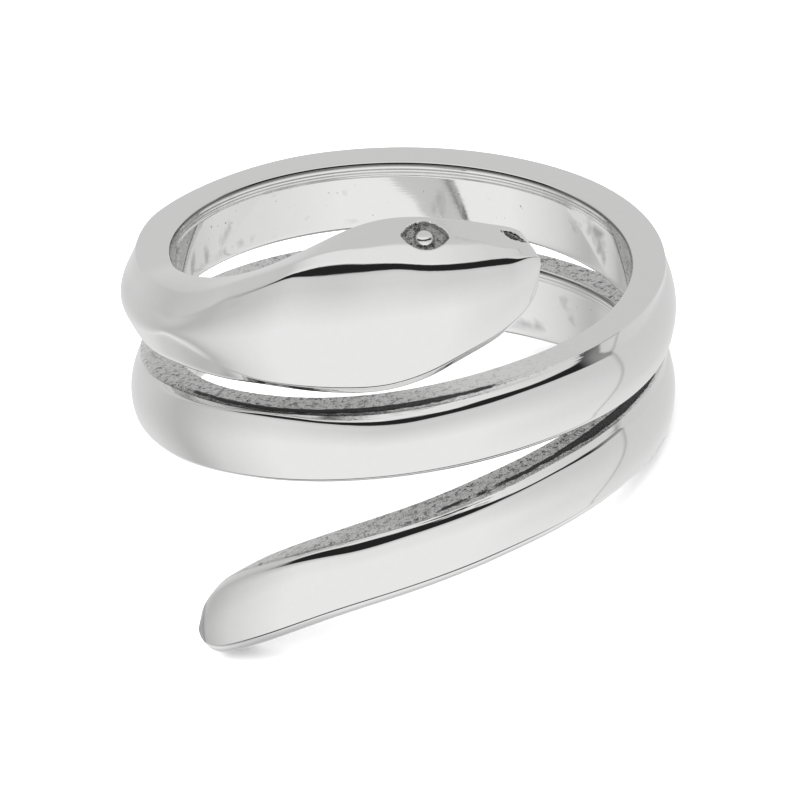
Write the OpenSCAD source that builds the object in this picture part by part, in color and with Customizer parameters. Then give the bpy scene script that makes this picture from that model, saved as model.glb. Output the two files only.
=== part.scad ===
// Snake wrap ring: one casting, a snake whose body coils a little over two turns round the finger.
// The coil is one closed surface, worked out from the sizes below. Its bore is cut round.
// Angles along the coil are in degrees from the snout, and the body sinks as they grow.

/* [Band] */
// Diameter of the bore, where the finger goes
finger_d = 17.5; // [15:0.1:22]
// Height of the band, measured along the finger
band_w = 2.9; // [2.2:0.05:3.2]
// Thickness of the band, from the bore outwards
band_t = 1.75; // [1.4:0.05:2.2]
// Drop of one whole turn
turn_drop = 3.95; // [3.6:0.05:5]
// Turns from the snout to the end of the tail
turns = 2.246; // [2.15:0.001:2.3]
// Round along the upper outer edge of the band
upper_round = 0.6; // [0.3:0.05:0.8]
// Round along the lower outer edge of the band
lower_round = 0.5; // [0.3:0.05:0.7]
// Rounded bevel along the two edges of the bore
bore_bevel = 0.22; // [0.1:0.02:0.35]
// How far the outer face swells in its middle
face_swell = 0.08; // [0:0.02:0.2]

/* [Head] */
// Length of the head and neck, round the outside
head_len = 20.5; // [17:0.5:24]
// Height of the head at its widest
head_w = 6.4; // [5:0.05:7]
// Thickness of the head at the eyes
head_t = 2.1; // [1.8:0.05:2.6]
// How far the head stands above the even coil
head_lift = 2.4; // [1.5:0.1:3]
// Length of the rounded end of the snout
snout_len = 1.45; // [1:0.05:2.5]
// How far the tip of the snout is above its middle, as a share of half its height
snout_tip_high = 0.25; // [0:0.05:0.5]
// Thickness of the snout at its tip
snout_t = 1.2; // [1:0.05:1.6]
// Round of the upper flank of the head, at the eye
head_upper_round = 1.85; // [1:0.05:2]
// Round of the lower flank of the head, at the eye
head_lower_round = 0.8; // [0.4:0.05:1.2]
// Round of the lower flank at the snout
rim_round = 0.3; // [0.2:0.05:0.6]

/* [Eyes and nostrils] */
// Distance from the snout to the middle of the eye
eye_way = 5.1; // [4:0.05:6.5]
// Distance of the eye from the outer face, towards the bore
eye_inset = 0.85; // [0.5:0.05:1]
// Length of the almond-shaped eye recess
eye_len = 1.85; // [1.2:0.05:2.2]
// Width of the eye recess
eye_w = 1.1; // [0.8:0.05:1.3]
// Depth of the eye recess
eye_depth = 0.28; // [0.15:0.01:0.4]
// Diameter of the raised eyeball
ball_d = 0.75; // [0.5:0.05:0.9]
// How far the eyeball stands out of its recess
ball_rise = 0.03; // [0:0.01:0.1]
// Distance from the snout to the middle of the nostril
nostril_way = 0.65; // [0.6:0.05:1.2]
// Distance of the nostril from the outer face, towards the bore
nostril_inset = 0.42; // [0.3:0.05:0.7]
// Length of the nostril, which is pointed at both ends
nostril_len = 1.3; // [0.8:0.05:1.5]
// Width of the nostril in its middle
nostril_w = 0.4; // [0.25:0.01:0.5]

/* [Tail] */
// Length of the tail that leans away from the coil, round the outside
tail_len = 24; // [18:0.5:30]
// How far the end of the tail leans down
tail_drop = 5.4; // [3:0.05:6.5]
// Height of the tail near its end
tail_w = 3.4; // [2.6:0.05:4]
// Length of the rounded end of the tail
tail_end_len = 2.3; // [0.8:0.05:3]
// How far the tip of the tail is below its middle, as a share of half its height
tail_tip_low = 0.33; // [0:0.05:0.6]

/* [Hidden] */

bore_r = finger_d / 2;
body_r = bore_r + band_t;
total_angle = 360 * turns;
function angle_of(way) = way / body_r * 180 / PI;
head_angle = angle_of(head_len);
tail_angle = angle_of(tail_len);
snout_angle = angle_of(snout_len);
tail_end_angle = angle_of(tail_end_len);

// The snout points to this direction round the finger, with the front of the ring at -90
snout_direction = -57.5;

// Head: way is a share of head_len from the snout, and lift of head_lift. The next four columns go
// from the band's size (0) to the head's (1): height, thickness, upper round and lower round. The last
// goes from there to the size of the snout's tip (1).
LIFT = 1;
SWELL = 2;
HEAD_THICK = 3;
UPPER = 4;
LOWER = 5;
TAPER = 6;
head_rows = [
    // way, lift, swell, thick, upper, lower, taper
    [0.00, 0.95, 0.15, 0.90, 0.00, 0.00, 1.00],
    [0.06, 1.00, 0.17, 0.90, 0.25, 0.00, 0.73],
    [0.11, 1.02, 0.37, 0.92, 0.53, 0.00, 0.48],
    [0.18, 1.05, 0.59, 0.95, 0.78, 0.20, 0.17],
    [0.25, 1.00, 0.865, 0.98, 0.93, 0.40, 0.04],
    [0.33, 0.94, 1.00, 1.00, 1.00, 0.75, 0.00],
    [0.41, 0.86, 0.92, 0.95, 0.93, 0.85, 0.00],
    [0.51, 0.70, 0.67, 0.85, 0.73, 0.95, 0.00],
    [0.62, 0.52, 0.38, 0.65, 0.53, 1.00, 0.00],
    [0.73, 0.35, 0.19, 0.40, 0.36, 0.85, 0.00],
    [0.85, 0.16, 0.08, 0.25, 0.20, 0.50, 0.00],
    [1.00, 0.00, 0.00, 0.00, 0.00, 0.00, 0.00]
];

// Coil: how the hand-bent turns differ from an even helix. lift is a share of turn_drop, tall a
// share of band_w and thick a share of band_t.
TALL = 2;
THICK = 3;
coil_rows = [
    // turn, lift, tall, thick
    [0.00, -0.045, 1.00, 1.00],
    [0.30, -0.045, 1.00, 1.02],
    [0.38, -0.045, 1.00, 0.96],
    [0.45, -0.040, 1.00, 0.95],
    [0.57, -0.015, 1.00, 1.03],
    [0.68, 0.020, 1.00, 1.01],
    [0.80, 0.070, 1.01, 0.92],
    [0.93, 0.135, 1.03, 0.92],
    [1.03, 0.175, 1.05, 0.98],
    [1.18, 0.080, 1.02, 1.03],
    [1.31, -0.020, 1.03, 0.99],
    [1.43, -0.085, 1.06, 0.93],
    [1.68, 0.015, 1.10, 0.86],
    [1.81, 0.175, 1.04, 0.80],
    [1.93, 0.265, 1.04, 0.82],
    [2.06, 0.275, 1.02, 0.90],
    [2.30, 0.275, 1.00, 0.92]
];

// Tail: way is a share of tail_len from the tail's end, lift a share of tail_drop, and tall goes
// from the band's height (0) to tail_w (1).
tail_rows = [
    // way, lift, tall
    [0.00, -1.00, 1.00],
    [0.15, -0.68, 1.00],
    [0.30, -0.415, 0.40],
    [0.45, -0.235, 0.10],
    [0.60, -0.105, 0.00],
    [0.80, -0.03, 0.00],
    [1.00, 0.00, 0.00]
];

// Smooth curve through one column of a table, with the slope at a row taken from its neighbours
function row_slope(rows, column, i) =
    let (before = max(i - 1, 0), after = min(i + 1, len(rows) - 1))
    (rows[after][column] - rows[before][column]) / (rows[after][0] - rows[before][0]);
function row_before(rows, at) =
    max([for (i = [0 : len(rows) - 2]) if (i == 0 || rows[i][0] <= at) i]);
function along(rows, column, at) =
    let (
        i = row_before(rows, at),
        span = rows[i + 1][0] - rows[i][0],
        u = min(max((at - rows[i][0]) / span, 0), 1),
        slope_a = row_slope(rows, column, i) * span,
        slope_b = row_slope(rows, column, i + 1) * span
    )
    rows[i][column] * (1 + 2 * u) * (1 - u) * (1 - u) + rows[i + 1][column] * u * u * (3 - 2 * u)
    + slope_a * u * (1 - u) * (1 - u) - slope_b * u * u * (1 - u);

function blend(a, b, share) = a + (b - a) * share;
function head_way(angle) = min(angle / head_angle, 1);
function tail_way(angle) = min((total_angle - angle) / tail_angle, 1);
function head_value(column, angle) = along(head_rows, column, head_way(angle));
function coil_value(column, angle) = along(coil_rows, column, angle / 360);
function tail_value(column, angle) = along(tail_rows, column, tail_way(angle));

// Height of the body's middle line, and the body's height and thickness, at an angle along the coil
function middle_z(angle) =
    -turn_drop * angle / 360 + turn_drop * coil_value(LIFT, angle)
    + head_lift * head_value(LIFT, angle)
    + tail_drop * tail_value(LIFT, angle);
function body_height(angle) =
    let (band = band_w * coil_value(TALL, angle))
    blend(blend(band, head_w, head_value(SWELL, angle)), tail_w, tail_value(TALL, angle));
function body_thickness(angle) =
    let (band = band_t * coil_value(THICK, angle))
    blend(blend(band, head_t, head_value(HEAD_THICK, angle)), snout_t, head_value(TAPER, angle));

// Rounds of the body's outer edges: side 1 is the upper edge and -1 the lower
function edge_round(angle, side) =
    side > 0 ? blend(upper_round, head_upper_round, head_value(UPPER, angle))
    : blend(
        blend(lower_round, head_lower_round, head_value(LOWER, angle)),
        rim_round,
        head_value(TAPER, angle)
    );

// One side of the body's section, from inside the bore to the outer face: each point is a radius and
// its distance in from the body's edge
edge_inside = 0.35;
function side_points(outer_r, round_out, round_along, steps) = concat(
    [
        [bore_r - edge_inside, bore_bevel + edge_inside],
        [bore_r + 0.25 * bore_bevel, 0.35 * bore_bevel],
        [bore_r + 0.6 * bore_bevel, 0.1 * bore_bevel],
        [bore_r + 1.3 * bore_bevel, 0]
    ],
    [
        for (i = [0 : steps])
        let (a = 90 * i / steps)
        [outer_r - round_out * (1 - sin(a)), round_along * (1 - cos(a))]
    ]
);

upper_steps = 7;
lower_steps = 4;
face_steps = 4;

// A station is an angle along the coil, an end angle (90 where the body has its whole height, and
// towards 0 at the rounded ends), and the end it belongs to: 1 for the snout and -1 for the tail
end_angles = [10, 22, 34, 46, 58, 70, 80];
station_gap = 6.5;
body_stations = ceil((total_angle - snout_angle - tail_end_angle) / station_gap);
stations = concat(
    [for (a = end_angles) [snout_angle * (1 - cos(a)), a, 1]],
    [
        for (i = [0 : body_stations])
        [blend(snout_angle, total_angle - tail_end_angle, i / body_stations), 90, 1]
    ],
    [
        for (i = [1 : len(end_angles)])
        let (a = end_angles[len(end_angles) - i])
        [total_angle - tail_end_angle * (1 - cos(a)), a, -1]
    ]
);

// A point of the surface: it moves in from the rounded ends by the same distance as from the edges
function coil_point(station, radius, inset, side) =
    let (
        angle = station[0] + station[2] * angle_of(inset) * cos(station[1]),
        half = body_height(angle) / 2 - inset,
        tip = station[2] < 0 ? -tail_tip_low : snout_tip_high,
        direction = snout_direction - angle
    )
    [
        radius * cos(direction),
        radius * sin(direction),
        middle_z(angle) + half * (tip + (side - tip) * sin(station[1]))
    ];

function section(station) =
    let (
        angle = station[0],
        thick = body_thickness(angle),
        outer_r = bore_r + thick,
        upper_along = edge_round(angle, 1),
        upper = min(upper_along, thick - 1.4 * bore_bevel),
        lower = edge_round(angle, -1),
        below = side_points(outer_r, lower, lower, lower_steps),
        above = side_points(outer_r, upper, upper_along, upper_steps),
        face_low = coil_point(station, outer_r, lower, -1),
        face_high = coil_point(station, outer_r, upper_along, 1)
    )
    concat(
        [for (p = below) coil_point(station, p[0], p[1], -1)],
        [
            for (i = [1 : face_steps - 1])
            let (
                share = i / face_steps,
                p = blend(face_low, face_high, share),
                swell = face_swell * 4 * share * (1 - share) * sin(station[1])
            )
            [p[0] * (1 + swell / outer_r), p[1] * (1 + swell / outer_r), p[2]]
        ],
        [for (i = [len(above) - 1 : -1 : 0]) coil_point(station, above[i][0], above[i][1], 1)]
    );

rings = [for (s = stations) section(s)];
points = [for (ring = rings) for (p = ring) p];

module coil_body() {
    count = len(rings[0]);
    last = len(rings) - 1;
    walls = [
        for (k = [0 : last - 1])
        for (j = [0 : count - 1])
        let (
            a = k * count + j,
            b = k * count + (j + 1) % count,
            c = a + count,
            d = b + count
        )
        each [[a, c, b], [b, c, d]]
    ];
    ends = [
        for (j = [0 : count / 2 - 2])
        each [
            [j, j + 1, count - 1 - j], [j + 1, count - 2 - j, count - 1 - j],
            [last * count + j, last * count + count - 1 - j, last * count + j + 1],
            [last * count + j + 1, last * count + count - 1 - j, last * count + count - 2 - j]
        ]
    ];
    polyhedron(points, concat(walls, ends), convexity = 10);
}

// A place on a flank of the head: way from the snout, inset from the outer face towards the bore, and
// side 1 for the upper flank or -1 for the lower. Its slope is the flank's turn from facing outwards.
function flank_slope(way, inset, side) = acos(max(1 - inset / edge_round(angle_of(way), side), 0));
function flank_spot(way, inset, side) =
    let (
        angle = angle_of(way),
        end_angle = acos(max(1 - angle / snout_angle, 0)),
        edge_inset = edge_round(angle, side) * (1 - sin(flank_slope(way, inset, side)))
    )
    coil_point([angle, end_angle, 1], bore_r + body_thickness(angle) - inset, edge_inset, side);

// Moves its children to the eye's place on a flank, with Z outwards from the flank and Y along the coil
module at_eye(side) {
    slope = flank_slope(eye_way, eye_inset, side);
    translate(flank_spot(eye_way, eye_inset, side))
        rotate([0, 90 - side * slope, snout_direction - angle_of(eye_way)])
            children();
}

module eye_recess() {
    almond_r = (eye_len * eye_len + eye_w * eye_w) / (4 * eye_w);
    almond_offset = almond_r - eye_w / 2;
    intersection() {
        translate([almond_offset, 0, -eye_depth])
            cylinder(r = almond_r, h = 1, $fn = 48);
        translate([-almond_offset, 0, -eye_depth])
            cylinder(r = almond_r, h = 1, $fn = 48);
    }
}

module eyeball() {
    translate([0, 0, ball_rise - ball_d / 2])
        sphere(d = ball_d, $fn = 24);
}

// The nostril's hollow is widest in its middle and runs out along the flank on both sides
module nostril_hollow(side) {
    for (end = [-1, 1]) hull() {
        translate(flank_spot(nostril_way, nostril_inset, side))
            sphere(d = nostril_w, $fn = 16);
        translate(flank_spot(nostril_way + end * nostril_len / 2, nostril_inset, side))
            sphere(d = nostril_w / 5, $fn = 8);
    }
}

// At rest the ring stands on the end of its tail and on the far side of its last turn. It leans in
// the direction from the one to the other that its centre of mass gives, and as far as all points of
// the lower edge allow.
rest_direction = 12.3;
lean_way = [cos(rest_direction), sin(rest_direction), 0];
edge_points = [for (ring = rings) each [ring[3], ring[4]]];
lowest_z = min([for (p = edge_points) p[2]]);
tail_foot = [for (p = edge_points) if (p[2] == lowest_z) p][0];
lean = atan(min([
    for (p = edge_points)
    let (far = (p - tail_foot) * lean_way)
    if (far > bore_r) (p[2] - tail_foot[2]) / far
]));
lean_axis = [-sin(rest_direction), cos(rest_direction), 0];

function leaned(p) =
    let (
        far = p * lean_way,
        across = p * lean_axis,
        far_now = far * cos(lean) + p[2] * sin(lean)
    )
    far_now * lean_way + across * lean_axis + [0, 0, p[2] * cos(lean) - far * sin(lean)];
rest_points = [for (p = points) leaned(p)];
function rest_range(axis) = [
    min([for (p = rest_points) p[axis]]),
    max([for (p = rest_points) p[axis]])
];
rest_x = rest_range(0);
rest_y = rest_range(1);
rest_z = rest_range(2);

// Puts the ring on the floor, with the middle of its box over the origin
module at_rest() {
    translate([-(rest_x[0] + rest_x[1]) / 2, -(rest_y[0] + rest_y[1]) / 2, -rest_z[0]])
        rotate(lean, lean_axis)
            children();
}

// The seam of the round cut crosses the coil under the head and near the tail's end, so that each turn
// of the bore's wall is one face
bore_seam = 61;
cutter_h = 80;

module snake_ring() {
    color("silver") at_rest() {
        difference() {
            coil_body();
            translate([0, 0, -cutter_h / 2])
                rotate(snout_direction - bore_seam)
                    cylinder(d = finger_d, h = cutter_h, $fn = 120);
            for (side = [-1, 1]) {
                at_eye(side) eye_recess();
                nostril_hollow(side);
            }
        }
        for (side = [-1, 1]) at_eye(side) eyeball();
    }
}

snake_ring();
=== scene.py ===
import math

import bpy
import numpy as np
from mathutils import Matrix, Vector


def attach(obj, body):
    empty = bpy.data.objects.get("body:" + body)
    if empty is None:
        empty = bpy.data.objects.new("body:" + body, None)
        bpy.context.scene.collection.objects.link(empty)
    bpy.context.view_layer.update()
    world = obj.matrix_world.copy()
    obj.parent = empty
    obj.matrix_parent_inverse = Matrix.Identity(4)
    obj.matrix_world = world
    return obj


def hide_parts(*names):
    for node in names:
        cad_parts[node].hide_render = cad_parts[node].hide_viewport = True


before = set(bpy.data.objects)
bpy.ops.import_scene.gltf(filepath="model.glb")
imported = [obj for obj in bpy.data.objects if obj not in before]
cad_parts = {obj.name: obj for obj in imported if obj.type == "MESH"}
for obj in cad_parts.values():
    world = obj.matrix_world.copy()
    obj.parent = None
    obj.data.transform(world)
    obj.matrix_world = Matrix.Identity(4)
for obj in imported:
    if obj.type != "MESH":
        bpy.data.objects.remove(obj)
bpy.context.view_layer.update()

# Sizes and tables are in millimetres and degrees unless they say otherwise, and the mesh is in metres
MM = 0.001

# Sizes of the ring
BORE_R = 8.75
BAND_W = 2.9
BAND_T = 1.75
BODY_R = BORE_R + BAND_T
TURN_DROP = 3.95
TURNS = 2.246
BORE_BEVEL = 0.22
FACE_SWELL = 0.03

HEAD_LEN = 20.5
HEAD_W = 6.4
HEAD_T = 2.1
HEAD_LIFT = 2.4
SNOUT_LEN = 1.45
SNOUT_TIP_HIGH = 0.28
SNOUT_T = 1.2

TAIL_LEN = 24.0
TAIL_DROP = 5.4
TAIL_W = 3.4
TAIL_END_LEN = 2.3
TAIL_TIP_LOW = 0.16

# Eye: its way from the snout and arc from the bore's edge, the size of its almond, and the ball in it
EYE_WAY = 4.9
EYE_ARC = 0.76
EYE_LEN = 1.85
EYE_W = 1.16
EYE_DEPTH = 0.26
BALL_D = 0.86
BALL_RISE = 0.03
# It is cut only into what lies between these heights over its middle, and not into the bore's wall
EYE_BELOW, EYE_ABOVE = -0.3, 0.5
# Inside its outline the recess gets its depth, and its rough skin, over these distances
EYE_WALL = (-0.01, 0.11)
EYE_SKIN = (0.0, 0.08)
# The domed metal counts as no higher than this over its middle, so the recess has a flat floor
EYE_FLOOR = 0.04
# The ball is smooth where it stands above the upper one of these heights
BALL_SKIN = (-0.24, -0.17)

# The slit runs from its rear end to its front end: (way from the snout, arc from the bore's edge)
NOSTRIL_ENDS = {1: ((1.45, 0.22), (0.3, 0.5)), -1: ((1.6, 0.45), (0.6, 0.6))}
NOSTRIL_W = 0.3
NOSTRIL_DEPTH = 0.14
NOSTRIL_WALL = (-0.02, 0.1)
NOSTRIL_SKIN = (-0.01, 0.06)
# Above 1, the skin value also darkens the metal
NOSTRIL_DARK = 1.8
NOSTRIL_POINTS = 13

# How the ring rests: it leans this far in this direction, and its snout points in the last one before that
LEAN = 19.224
LEAN_TOWARDS = 12.3
SNOUT_DIRECTION = -57.5

# Columns of the next three tables
LIFT, TALL, THICK, TAPER = 1, 2, 3, 4

# Head, by its way from the snout as a share of HEAD_LEN: share of HEAD_LIFT, shares of the way to HEAD_W and
# HEAD_T, and share of the way on to SNOUT_T
HEAD_ROWS = np.array([
    # way, lift, tall, thick, taper
    [0, 0.95, 0.15, 0.9, 1],
    [0.06, 1, 0.17, 0.9, 0.73],
    [0.11, 1.01, 0.4, 0.92, 0.48],
    [0.18, 1.04, 0.62, 0.95, 0.17],
    [0.25, 1, 0.865, 0.98, 0.04],
    [0.33, 0.94, 0.985, 1, 0],
    [0.41, 0.85, 0.89, 0.95, 0],
    [0.51, 0.67, 0.625, 0.85, 0],
    [0.62, 0.468, 0.355, 0.65, 0],
    [0.73, 0.285, 0.195, 0.4, 0],
    [0.85, 0.12, 0.11, 0.25, 0],
    [1, 0, 0, 0, 0],
])

# Coil, by turns from the snout: shares of TURN_DROP, BAND_W and BAND_T
COIL_ROWS = np.array([
    # turn, lift, tall, thick
    [0, -0.045, 1, 1],
    [0.3, -0.048, 1, 1.12],
    [0.34, -0.046, 1, 1.12],
    [0.38, -0.045, 1, 1.03],
    [0.42, -0.042, 1, 0.93],
    [0.47, -0.038, 1, 0.9],
    [0.57, -0.015, 1, 1.02],
    [0.68, 0.02, 1, 1.01],
    [0.8, 0.07, 1.01, 0.93],
    [0.93, 0.135, 1.03, 0.92],
    [1.03, 0.175, 1.05, 0.98],
    [1.18, 0.07, 1.02, 1.03],
    [1.25, 0, 1.02, 1.03],
    [1.31, -0.04, 1.03, 1.04],
    [1.43, -0.085, 1.06, 0.95],
    [1.68, 0.015, 1.1, 0.86],
    [1.81, 0.175, 1.04, 0.84],
    [1.93, 0.265, 1.04, 0.77],
    [2.06, 0.27, 1.04, 0.88],
    [2.3, 0.275, 1, 0.92],
])

# Tail, by its way from the end as a share of TAIL_LEN: shares of TAIL_DROP and of the way to TAIL_W
TAIL_ROWS = np.array([
    # way, lift, tall
    [0, -1, 1],
    [0.15, -0.68, 1],
    [0.3, -0.415, 0.4],
    [0.45, -0.235, 0.1],
    [0.6, -0.105, 0],
    [0.8, -0.03, 0],
    [1, 0, 0],
])

# Section of the body by the angle, in hundredths of a millimetre. On each side the ridge lies out from the
# bore and in from the edge, the face's corner lies in from the edge and back from the outermost place, and
# both have the length of their rounding. The upper side also has a narrow bevel above the face's corner.
# Columns of each side, and the bevel's
SIDE_COLUMNS = {1: (1, 2, 3, 4, 6, 7), -1: (8, 9, 10, 11, 12, 13)}
BEVEL_COLUMN = 5
SHAPE_ROWS = np.array([
    # angle, upper side: ridge out, ridge in, face in, face back, bevel, ridge round, face round,
    # lower side: ridge out, ridge in, face in, face back, ridge round, face round
    [0, 70, 35, 100, 18, 18, 20, 10, 80, 1, 36, 6, 8, 10],
    [4, 85, 55, 108, 19, 20, 20, 8, 90, 1, 36, 6, 8, 10],
    [8, 93, 60, 115, 21, 22, 25, 8, 114, 1, 36, 6, 8, 10],
    [14, 94, 52, 131, 26, 25, 30, 8, 138, 1, 36, 6, 8, 10],
    [20, 99, 59, 146, 35, 25, 35, 8, 158, 1, 36, 6, 8, 10],
    [27, 101, 65, 156, 42, 25, 40, 8, 170, 1, 36, 7, 8, 10],
    [33, 104, 59, 146, 47, 25, 40, 8, 174, 1, 36, 8, 8, 10],
    [40, 107, 52, 135, 50, 31, 40, 12, 174, 1, 36, 10, 8, 10],
    [46, 103, 30, 111, 53, 38, 35, 14, 170, 1, 36, 11, 8, 10],
    [51, 111, 12, 83, 50, 34, 25, 12, 166, 1, 36, 12, 10, 8],
    [56, 120, 4, 51, 46, 16, 25, 6, 160, 1, 36, 12, 10, 8],
    [60, 105, 3, 48, 44, 10, 30, 5, 154, 1, 37, 13, 12, 7],
    [64, 95, 3, 51, 42, 10, 35, 5, 153, 1, 40, 14, 15, 6],
    [68, 93, 3, 54, 40, 10, 35, 5, 157, 1, 50, 15, 18, 6],
    [72, 95, 4, 60, 36, 10, 40, 5, 164, 2, 64, 16, 20, 6],
    [78, 90, 12, 90, 30, 10, 50, 8, 162, 3, 92, 16, 25, 7],
    [84, 95, 22, 115, 24, 12, 55, 15, 160, 6, 124, 16, 30, 15],
    [90, 105, 25, 125, 28, 25, 60, 50, 156, 8, 145, 12, 35, 50],
    [95, 110, 20, 105, 34, 35, 60, 80, 154, 8, 120, 10, 35, 80],
    [102, 116, 14, 90, 36, 40, 55, 80, 152, 6, 95, 10, 35, 80],
    [120, 130, 8, 78, 28, 40, 45, 70, 146, 4, 75, 12, 35, 60],
    [150, 142, 3, 65, 16, 35, 30, 45, 138, 4, 60, 12, 30, 40],
    [270, 148, 3, 62, 12, 35, 30, 40, 138, 4, 40, 12, 20, 20],
    [305, 142, 5, 72, 18, 35, 35, 45, 138, 3, 30, 12, 20, 15],
    [322, 128, 6, 80, 24, 30, 25, 35, 138, 3, 26, 10, 12, 10],
    [333, 118, 5, 80, 26, 18, 20, 15, 138, 3, 24, 10, 12, 10],
    [342, 115, 5, 70, 24, 20, 15, 8, 138, 3, 22, 10, 12, 10],
    [350, 114, 5, 58, 22, 22, 15, 6, 138, 3, 22, 10, 12, 10],
    [365, 114, 5, 57, 22, 17, 12, 6, 138, 3, 22, 10, 12, 10],
    [375, 114, 5, 62, 22, 22, 10, 6, 140, 3, 22, 10, 12, 10],
    [385, 114, 5, 66, 22, 18, 8, 6, 140, 3, 22, 10, 12, 10],
    [393, 115, 5, 70, 22, 22, 8, 6, 140, 3, 22, 10, 12, 10],
    [400, 115, 5, 65, 22, 20, 8, 6, 140, 3, 22, 10, 12, 10],
    [410, 112, 4, 44, 21, 15, 8, 6, 140, 3, 22, 10, 12, 10],
    [418, 110, 3, 28, 20, 17, 8, 6, 140, 3, 22, 10, 12, 10],
    [425, 106, 2, 19, 20, 14, 6, 5, 140, 3, 22, 10, 12, 10],
    [433, 98, 2, 16, 19, 9, 6, 6, 138, 3, 22, 10, 13, 11],
    [440, 92, 2, 18, 19, 8, 8, 10, 136, 3, 22, 10, 15, 12],
    [450, 92, 3, 28, 18, 14, 15, 20, 136, 3, 24, 10, 15, 15],
    [460, 105, 6, 50, 17, 25, 25, 35, 136, 3, 30, 12, 20, 20],
    [472, 125, 8, 75, 18, 32, 35, 40, 136, 3, 34, 12, 25, 25],
    [520, 146, 3, 64, 12, 32, 30, 40, 134, 4, 38, 12, 20, 20],
    [650, 130, 4, 70, 12, 30, 30, 40, 124, 4, 30, 12, 20, 20],
    [675, 95, 5, 82, 18, 18, 20, 20, 120, 3, 24, 10, 15, 12],
    [688, 75, 4, 80, 20, 12, 10, 8, 118, 3, 22, 10, 15, 10],
    [700, 72, 3, 69, 22, 12, 8, 6, 112, 2, 26, 8, 12, 10],
    [710, 76, 3, 65, 22, 12, 8, 6, 110, 1, 30, 7, 10, 10],
    [720, 85, 3, 60, 21, 10, 8, 6, 114, 1, 34, 6, 8, 10],
    [730, 94, 4, 62, 18, 11, 8, 6, 118, 1, 38, 6, 8, 10],
    [740, 106, 4, 63, 14, 18, 8, 6, 122, 1, 38, 6, 8, 10],
    [753, 112, 4, 60, 12, 28, 8, 6, 124, 1, 40, 6, 8, 10],
    [765, 108, 4, 61, 12, 36, 8, 6, 125, 1, 40, 6, 8, 10],
    [775, 105, 4, 46, 12, 32, 10, 8, 126, 1, 40, 6, 8, 10],
    [785, 105, 4, 41, 13, 22, 12, 12, 127, 1, 40, 6, 8, 10],
    [797, 102, 4, 50, 15, 25, 20, 30, 128, 1, 40, 6, 8, 10],
    [805, 101, 4, 48, 16, 20, 14, 12, 124, 1, 40, 6, 8, 8],
    [812, 100, 4, 45, 16, 15, 10, 6, 120, 1, 40, 6, 8, 10],
], float)
SHAPE_ROWS[:, 1:] /= 100

# Slope of the bevel above the face's corner
BEVEL_SLOPE = 26.5
# Most of the height that each side may take, as a share
ROOM = {1: 0.45, -1: 0.53}
# The face stands at least this far out beyond the ridge
LEAST_RIDGE = 0.12

# Below 1, the upper and lower halves of the round ends are fuller than ellipses
END_FULLNESS = {1: 0.75, -1: 0.8}
# How much of their insets the corners keep at the tips, and the powers of WHOLE in between
SNOUT_SHRINK = {1: 0.17, -1: 0.7}
TAIL_SHRINK = 0.6
WALL_SHRINK = 0.12
SHRINK_ALONG, SHRINK_ACROSS, SHRINK_ON_WALL = 1.6, 0.6, 2

# A steep step beside the ridge where the cast top side was left lower: how far its foot lies out and in from
# the ridge, its foot's share of the way to the bevel where there is no step, and the rows (angle, share)
STEP_OUT, STEP_IN = 0.08, 0.15
FLAT_SHARE = 0.3
STEP_ROWS = np.array([
    [0, 0], [345, 0], [368, 0.3], [378, 0.8], [395, 1], [425, 0.8], [440, 0.7], [455, 0.4], [470, 0],
    [560, 0], [660, 0.4], [685, 1.5], [705, 1.5], [720, 1], [755, 0.8], [775, 0.4], [790, 0], [812, 0],
], float)
# The bevel between the top side and the bore's wall
EDGE_OUT, EDGE_IN = 0.07, 0.14
# Fine lines along the wall below that bevel: how deep they reach, how wide and high each one is, the share
# of its width in which it rises, and the angles over which they and their painted shade come in
LINES_DEPTH = 0.66
LINE_WIDTH = 0.17
LINE_HIGH = 0.024
LINE_RISE = 0.3
LINES_FROM = (95, 125)
PAINTED_SHADE_FROM = (90, 115)
# Lengths of the roundings at that bevel, where the fine lines start and end, and at the foot of the step
EDGE_ROUND = 0.06
LINES_START_ROUND, LINES_END_ROUND = 0.03, 0.1
STEP_ROUND = 0.06

# How much of the top side has its cast skin: (angle, share)
CAST_ROWS = np.array([
    [0, 0], [345, 0], [368, 0.15], [385, 0.35], [398, 0.7], [410, 1], [455, 1], [470, 0.6], [485, 0.2],
    [520, 0.3], [560, 0.8], [690, 1], [740, 0.9], [780, 0.7], [795, 0.4], [804, 0], [812, 0],
], float)
# How strong the painted dark reflection along the step is, a jagged streak: (angle, share)
PAINTED_STREAK_ROWS = np.array([
    [0, 0], [364, 0], [372, 0.5], [382, 0.8], [395, 1], [425, 1], [440, 0.8], [450, 0.5], [462, 0],
    [600, 0], [668, 0], [682, 0.9], [692, 1.3], [706, 1.2], [716, 0.8], [736, 0.6], [745, 0.6],
    [756, 0], [812, 0],
], float)
# How much the light strip beside the step has tool marks: (angle, share), and the share on the top side
DRAWN_ROWS = np.array([
    [0, 0], [340, 0], [375, 0.5], [400, 1], [430, 1], [450, 0.3], [470, 0], [640, 0], [690, 0.5],
    [750, 0.7], [765, 1], [795, 1], [806, 0.3], [812, 0],
], float)
TOP_DRAWN = 0.25
# Wear of the tail's rim: angles over which its lower edge gets it, values of WHOLE between which its end
# does, and the place, width and strength of the painted shade line inside it
WORN_FROM = (640, 720)
WORN_END = (0.40, 0.50)
RIM_LINE_AT, RIM_LINE_WIDE, PAINTED_RIM_SHADE = 0.52, 0.05, 0.55

# Corners of a section, counted from the bore's lower edge out and up, then back
LOW_EDGE, LOW_RIDGE, MID_FACE, BEVEL_TOP, STEP_FOOT = 0, 1, 3, 5, 6
HIGH_RIDGE, HIGH_EDGE, LINES_START, LINES_END = 7, 8, 9, 10
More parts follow.
